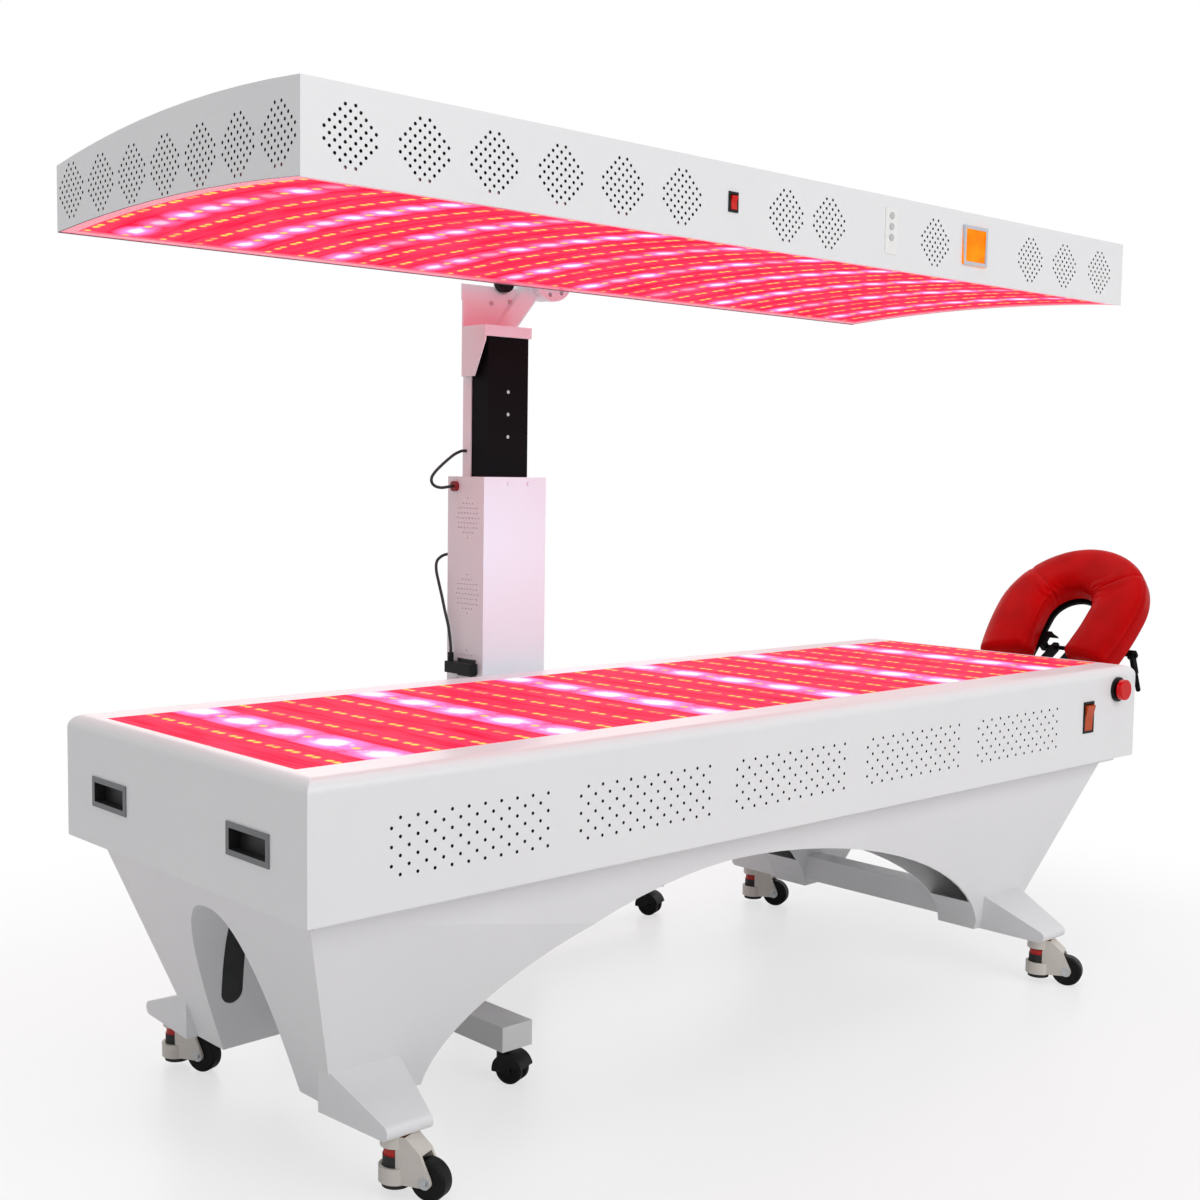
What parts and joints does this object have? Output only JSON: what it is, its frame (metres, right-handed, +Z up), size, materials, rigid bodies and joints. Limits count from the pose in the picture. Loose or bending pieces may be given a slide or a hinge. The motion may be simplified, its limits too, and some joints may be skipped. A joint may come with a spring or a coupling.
{
  "type": "red light therapy bed",
  "caption": "Lit lying bed on an arched leg frame with leveling casters, a lit arched canopy on a lifting column with its own rolling base, and a tilting face rest.",
  "frame": {"origin": "on the floor under the middle of the bed casing", "axes": "+X along the bed towards the face rest, +Y across the bed towards the column, +Z up"},
  "size_m": [2.4467, 1.0473, 1.4674],
  "materials": {
    "white_paint": "satin powder coat",
    "frame_paint": "satin powder coat",
    "frame_rim": "satin",
    "black_paint": "satin powder coat",
    "lit_panel": "smooth, lit from behind",
    "lamp_board": "coated",
    "steel": "brushed",
    "black_plastic": "fine grain",
    "grey_plastic": "fine grain",
    "red_plastic": "gloss",
    "amber_plastic": "gloss, lit",
    "gland": "moulded",
    "cord": "smooth",
    "fork_cast": "satin enamel",
    "wheel_black": "matte",
    "pad_black": "matte",
    "cushion_red": "soft artificial leather",
    "keypad": "film",
    "display": "satin"
  },
  "bodies": {
    "bed": {"bed_casing": "white_paint", "bed_glass": "lit_panel", "bed_led_board": "lamp_board", "bed_power_supplies": "steel", "leg_frame": "frame_paint", "slot_liners": "black_plastic", "cross_beams": "frame_paint", "outrigger_feet": "white_paint", "recessed_handles": "grey_plastic", "bed_control_bezels": "black_plastic"},
    "bed_switch": {"bed_rocker": "amber_plastic"},
    "stop": {"stop_button": "red_plastic"},
    "stand": {"base_beams": "frame_paint", "column_sleeve": "white_paint", "cable_fittings": "gland", "power_plug": "black_plastic", "power_cable": "cord", "actuator_housing": "steel"},
    "lift": {"actuator_rod": "steel", "inner_column": "black_paint", "column_carriage": "white_paint", "column_screws": "steel", "diagonal_arm": "white_paint", "canopy_cable": "cord", "hinge_pin": "steel"},
    "knob": {"lock_knob": "black_plastic"},
    "canopy": {"canopy_flange": "white_paint", "canopy_shell": "white_paint", "canopy_frame": "frame_rim", "canopy_glass": "lit_panel", "canopy_led_board": "lamp_board", "canopy_switch_bezel": "black_plastic", "keypad_plate": "keypad", "display_unit": "display"},
    "canopy_switch": {"canopy_rocker": "red_plastic"},
    "key_1": {"keypad_button_1": "steel"},
    "key_2": {"keypad_button_2": "steel"},
    "key_3": {"keypad_button_3": "steel"},
    "headrest_mount": {"headrest_posts": "black_paint"},
    "headrest": {"headrest_platform": "black_paint", "headrest_cushion": "cushion_red"},
    "headrest_clamp": {"headrest_lever": "black_plastic"},
    "caster_1": {"caster_1_fork": "fork_cast"},
    "caster_1_roller": {"caster_1_wheel": "wheel_black"},
    "caster_1_foot": {"caster_1_pad": "pad_black"},
    "caster_2": {"caster_2_fork": "fork_cast"},
    "caster_2_roller": {"caster_2_wheel": "wheel_black"},
    "caster_2_foot": {"caster_2_pad": "pad_black"},
    "caster_3": {"caster_3_fork": "fork_cast"},
    "caster_3_roller": {"caster_3_wheel": "wheel_black"},
    "caster_3_foot": {"caster_3_pad": "pad_black"},
    "caster_4": {"caster_4_fork": "fork_cast"},
    "caster_4_roller": {"caster_4_wheel": "wheel_black"},
    "caster_4_foot": {"caster_4_pad": "pad_black"},
    "twin_1": {"twin_1_hood": "black_plastic"},
    "twin_1_roller": {"twin_1_wheels": "wheel_black"},
    "twin_2": {"twin_2_hood": "black_plastic"},
    "twin_2_roller": {"twin_2_wheels": "wheel_black"},
    "twin_3": {"twin_3_hood": "black_plastic"},
    "twin_3_roller": {"twin_3_wheels": "wheel_black"}
  },
  "joints": [
    {"name": "stand_roll", "type": "slide", "parent": "bed", "child": "stand", "axis": [0, 1, 0], "range_m": [0, 0.4]},
    {"name": "canopy_lift", "type": "slide", "parent": "stand", "child": "lift", "axis": [0, 0, 1], "range_m": [-0.19, 0.1], "deforming": ["canopy_cable"]},
    {"name": "canopy_turn", "type": "hinge", "parent": "lift", "child": "canopy", "pos_m": [0.089, 0.48, 1.36], "axis": [0, 1, 0], "range_deg": [-15, 45]},
    {"name": "lock_knob_turn", "type": "hinge", "parent": "lift", "child": "knob", "pos_m": [-0.03, 0.477, 1.338], "axis": [0, -1, 0], "range_deg": [-180, 180]},
    {"name": "bed_switch_rock", "type": "hinge", "parent": "bed", "child": "bed_switch", "pos_m": [0.82, -0.336, 0.49], "axis": [1, 0, 0], "range_deg": [-16, 0]},
    {"name": "stop_press", "type": "slide", "parent": "bed", "child": "stop", "axis": [0, 1, 0], "range_m": [0, 0.004], "stiffness_N_per_m": 900, "springref_m": -0.002},
    {"name": "canopy_switch_rock", "type": "hinge", "parent": "canopy", "child": "canopy_switch", "pos_m": [-0.152, -0.241, 1.396], "axis": [1, 0, 0], "range_deg": [-16, 0]},
    {"name": "key_1_press", "type": "slide", "parent": "canopy", "child": "key_1", "axis": [0, 1, 0], "range_m": [0, 0.001], "stiffness_N_per_m": 600, "springref_m": -0.0005},
    {"name": "key_2_press", "type": "slide", "parent": "canopy", "child": "key_2", "axis": [0, 1, 0], "range_m": [0, 0.001], "stiffness_N_per_m": 600, "springref_m": -0.0005},
    {"name": "key_3_press", "type": "slide", "parent": "canopy", "child": "key_3", "axis": [0, 1, 0], "range_m": [0, 0.001], "stiffness_N_per_m": 600, "springref_m": -0.0005},
    {"name": "headrest_extend", "type": "slide", "parent": "bed", "child": "headrest_mount", "axis": [1, 0, 0], "range_m": [0, 0.08]},
    {"name": "headrest_tilt", "type": "hinge", "parent": "headrest_mount", "child": "headrest", "pos_m": [1.29, 0, 0.568], "axis": [0, 1, 0], "range_deg": [-15, 46]},
    {"name": "headrest_clamp_turn", "type": "hinge", "parent": "headrest_mount", "child": "headrest_clamp", "pos_m": [1.29, -0.172, 0.568], "axis": [0, 1, 0], "range_deg": [0, 60]},
    {"name": "caster_1_swivel", "type": "hinge", "parent": "bed", "child": "caster_1", "pos_m": [-0.838, -0.303, 0.09], "axis": [0, 0, 1], "continuous": true},
    {"name": "caster_1_roll", "type": "hinge", "parent": "caster_1", "child": "caster_1_roller", "pos_m": [-0.81795, -0.35314, 0.028], "axis": [0.9285, 0.3714, 0], "continuous": true},
    {"name": "caster_1_level", "type": "slide", "parent": "caster_1", "child": "caster_1_foot", "axis": [0, 0, -1], "range_m": [0, 0.009]},
    {"name": "caster_2_swivel", "type": "hinge", "parent": "bed", "child": "caster_2", "pos_m": [0.624, -0.368, 0.09], "axis": [0, 0, 1], "continuous": true},
    {"name": "caster_2_roll", "type": "hinge", "parent": "caster_2", "child": "caster_2_roller", "pos_m": [0.64405, -0.41814, 0.028], "axis": [0.9285, 0.3714, 0], "continuous": true},
    {"name": "caster_2_level", "type": "slide", "parent": "caster_2", "child": "caster_2_foot", "axis": [0, 0, -1], "range_m": [0, 0.009]},
    {"name": "caster_3_swivel", "type": "hinge", "parent": "bed", "child": "caster_3", "pos_m": [-0.838, 0.303, 0.09], "axis": [0, 0, 1], "continuous": true},
    {"name": "caster_3_roll", "type": "hinge", "parent": "caster_3", "child": "caster_3_roller", "pos_m": [-0.81795, 0.25286, 0.028], "axis": [0.9285, 0.3714, 0], "continuous": true},
    {"name": "caster_3_level", "type": "slide", "parent": "caster_3", "child": "caster_3_foot", "axis": [0, 0, -1], "range_m": [0, 0.009]},
    {"name": "caster_4_swivel", "type": "hinge", "parent": "bed", "child": "caster_4", "pos_m": [0.624, 0.368, 0.09], "axis": [0, 0, 1], "continuous": true},
    {"name": "caster_4_roll", "type": "hinge", "parent": "caster_4", "child": "caster_4_roller", "pos_m": [0.64405, 0.31786, 0.028], "axis": [0.9285, 0.3714, 0], "continuous": true},
    {"name": "caster_4_level", "type": "slide", "parent": "caster_4", "child": "caster_4_foot", "axis": [0, 0, -1], "range_m": [0, 0.009]},
    {"name": "twin_1_swivel", "type": "hinge", "parent": "stand", "child": "twin_1", "pos_m": [-0.48, -0.091, 0.06], "axis": [0, 0, 1], "continuous": true},
    {"name": "twin_1_roll", "type": "hinge", "parent": "twin_1", "child": "twin_1_roller", "pos_m": [-0.47406, -0.10586, 0.023], "axis": [0.9285, 0.3714, 0], "continuous": true},
    {"name": "twin_2_swivel", "type": "hinge", "parent": "stand", "child": "twin_2", "pos_m": [-0.48, 0.566, 0.06], "axis": [0, 0, 1], "continuous": true},
    {"name": "twin_2_roll", "type": "hinge", "parent": "twin_2", "child": "twin_2_roller", "pos_m": [-0.47406, 0.55114, 0.023], "axis": [0.9285, 0.3714, 0], "continuous": true},
    {"name": "twin_3_swivel", "type": "hinge", "parent": "stand", "child": "twin_3", "pos_m": [0.366, 0.46, 0.06], "axis": [0, 0, 1], "continuous": true},
    {"name": "twin_3_roll", "type": "hinge", "parent": "twin_3", "child": "twin_3_roller", "pos_m": [0.37194, 0.44514, 0.023], "axis": [0.9285, 0.3714, 0], "continuous": true}
  ]
}
